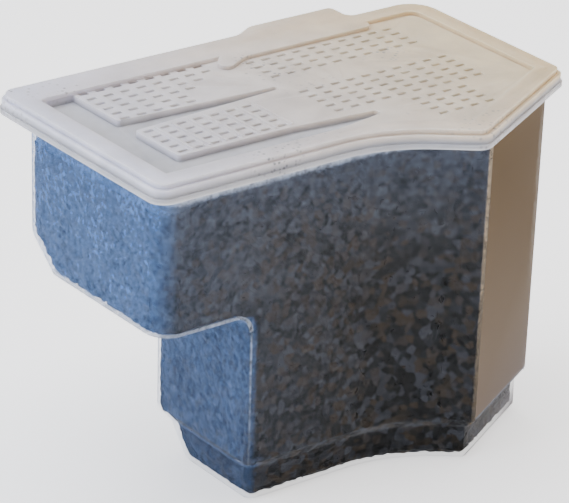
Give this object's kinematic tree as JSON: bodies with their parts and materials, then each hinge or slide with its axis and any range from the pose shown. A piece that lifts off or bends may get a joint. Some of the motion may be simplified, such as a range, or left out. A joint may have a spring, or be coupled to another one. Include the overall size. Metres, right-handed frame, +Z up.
{
  "type": "filter media cartridge",
  "caption": "Stepped translucent tub of black granular carbon under a clip-on slotted lid, the media cartridge of a hang-on-back aquarium filter.",
  "frame": {"origin": "middle of the flat underside of the foot", "axes": "+X along the long straight front edge towards the lobed end, +Y from the front to the thumb tab at the back, +Z up, the way the lid lifts"},
  "size_m": [0.12, 0.0822, 0.0876],
  "materials": {
    "clear_pp": "translucent natural polypropylene, satin moulded",
    "lid_pp": "milky natural polypropylene, satin moulded",
    "carbon": "loose black granules, matte with glints"
  },
  "bodies": {
    "tub_body": {"tub": "clear_pp", "carbon_bed": "carbon"},
    "lid_body": {"lid": "lid_pp"}
  },
  "joints": [
    {"name": "lid_lift", "type": "slide", "parent": "tub_body", "child": "lid_body", "axis": [0, 0, 1], "range_m": [0, 0.03]}
  ]
}
